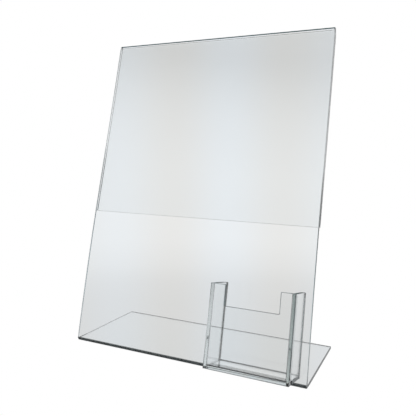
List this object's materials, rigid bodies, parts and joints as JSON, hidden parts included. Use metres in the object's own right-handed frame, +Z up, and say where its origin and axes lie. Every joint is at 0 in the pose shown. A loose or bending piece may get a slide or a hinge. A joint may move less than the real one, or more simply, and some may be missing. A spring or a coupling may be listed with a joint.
{
  "type": "slant-back acrylic counter display guard",
  "caption": "Clear acrylic countertop panel on a bent foot, leaning back, with a half-height rear flap that holds a sheet and a small card pocket on the front.",
  "frame": {"origin": "centre of the footprint, on the underside of the foot", "axes": "+X to the right seen from the front, +Y away from the viewer towards the foot's rear edge, +Z up"},
  "size_m": [0.216, 0.115, 0.2825],
  "materials": {
    "sheet_acrylic": "clear cast acrylic, polished faces, flame-polished edges",
    "pocket_acrylic": "clear cast acrylic plates, polished faces, polished cut edges"
  },
  "bodies": {
    "root": {"bent_sheet": "sheet_acrylic", "pocket_front": "pocket_acrylic", "pocket_left_wall": "pocket_acrylic", "pocket_right_wall": "pocket_acrylic", "pocket_floor": "pocket_acrylic"}
  },
  "joints": []
}
